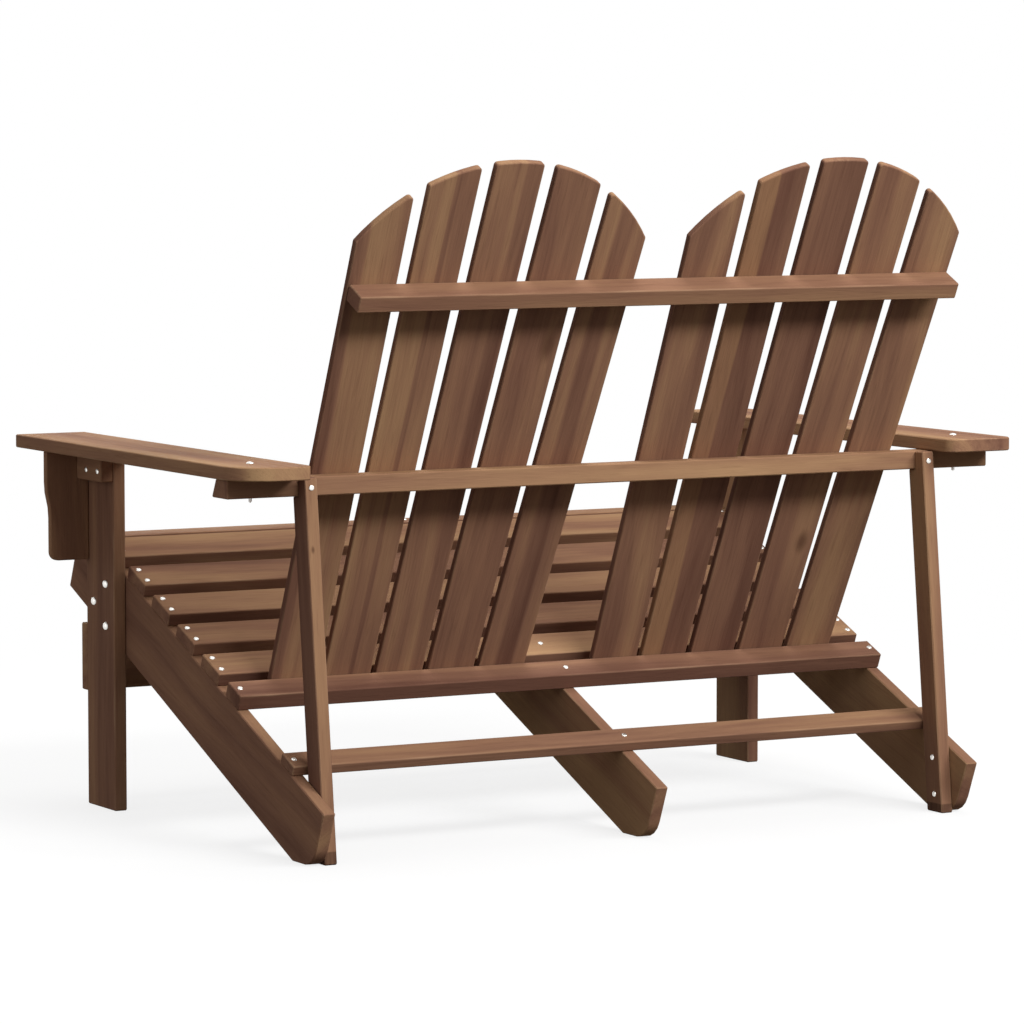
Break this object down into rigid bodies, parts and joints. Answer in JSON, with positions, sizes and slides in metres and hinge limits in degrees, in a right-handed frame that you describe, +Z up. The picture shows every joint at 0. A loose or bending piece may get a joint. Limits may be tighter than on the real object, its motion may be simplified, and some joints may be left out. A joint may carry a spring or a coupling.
{
  "type": "adirondack loveseat",
  "caption": "Low garden seat for two: sloping slatted seat on floor-length stringers, wide flat armrests and a tilted double fan back.",
  "frame": {"origin": "on the ground, in the middle of the seat's overall box seen from above", "axes": "+X towards the sitter's left, +Y towards the back of the seat, +Z up; the seat faces -Y"},
  "size_m": [1.238, 0.8894, 0.9438],
  "materials": {
    "seat_wood": "oiled acacia-like hardwood, satin",
    "back_wood": "oiled acacia-like hardwood, satin",
    "arm_wood": "oiled acacia-like hardwood, satin",
    "frame_wood": "oiled acacia-like hardwood, satin",
    "plated_steel": "zinc plated, domed heads"
  },
  "bodies": {
    "root": {"stringer_left": "frame_wood", "stringer_centre": "frame_wood", "stringer_right": "frame_wood", "seat_slat_front": "seat_wood", "seat_slat_1": "seat_wood", "seat_slat_2": "seat_wood", "seat_slat_3": "seat_wood", "seat_slat_4": "seat_wood", "seat_slat_5": "seat_wood", "rear_seat_rail": "seat_wood", "rear_stretcher": "frame_wood", "front_apron": "frame_wood", "front_leg_left": "frame_wood", "front_leg_right": "frame_wood", "rear_post_left": "frame_wood", "rear_post_right": "frame_wood", "armrest_left": "arm_wood", "armrest_right": "arm_wood", "arm_bracket_left": "arm_wood", "arm_bracket_right": "arm_wood", "arm_cleat_left": "arm_wood", "arm_cleat_right": "arm_wood", "arm_rail": "arm_wood", "upper_back_rail": "back_wood", "back_slat_left_1": "back_wood", "back_slat_left_2": "back_wood", "back_slat_left_3": "back_wood", "back_slat_left_4": "back_wood", "back_slat_left_5": "back_wood", "back_slat_right_1": "back_wood", "back_slat_right_2": "back_wood", "back_slat_right_3": "back_wood", "back_slat_right_4": "back_wood", "back_slat_right_5": "back_wood", "arm_bolt_left": "plated_steel", "arm_bolt_right": "plated_steel", "leg_bolt_left_1": "plated_steel", "leg_bolt_left_2": "plated_steel", "leg_bolt_left_3": "plated_steel", "leg_bolt_right_1": "plated_steel", "leg_bolt_right_2": "plated_steel", "leg_bolt_right_3": "plated_steel", "post_screw_left_1": "plated_steel", "post_screw_left_2": "plated_steel", "post_screw_right_1": "plated_steel", "post_screw_right_2": "plated_steel", "post_top_screw_left": "plated_steel", "post_top_screw_right": "plated_steel", "cleat_screw_left_1": "plated_steel", "cleat_screw_left_2": "plated_steel", "cleat_screw_right_1": "plated_steel", "cleat_screw_right_2": "plated_steel", "apron_screw_left_1": "plated_steel", "apron_screw_left_2": "plated_steel", "apron_screw_right_1": "plated_steel", "apron_screw_right_2": "plated_steel"}
  },
  "joints": []
}
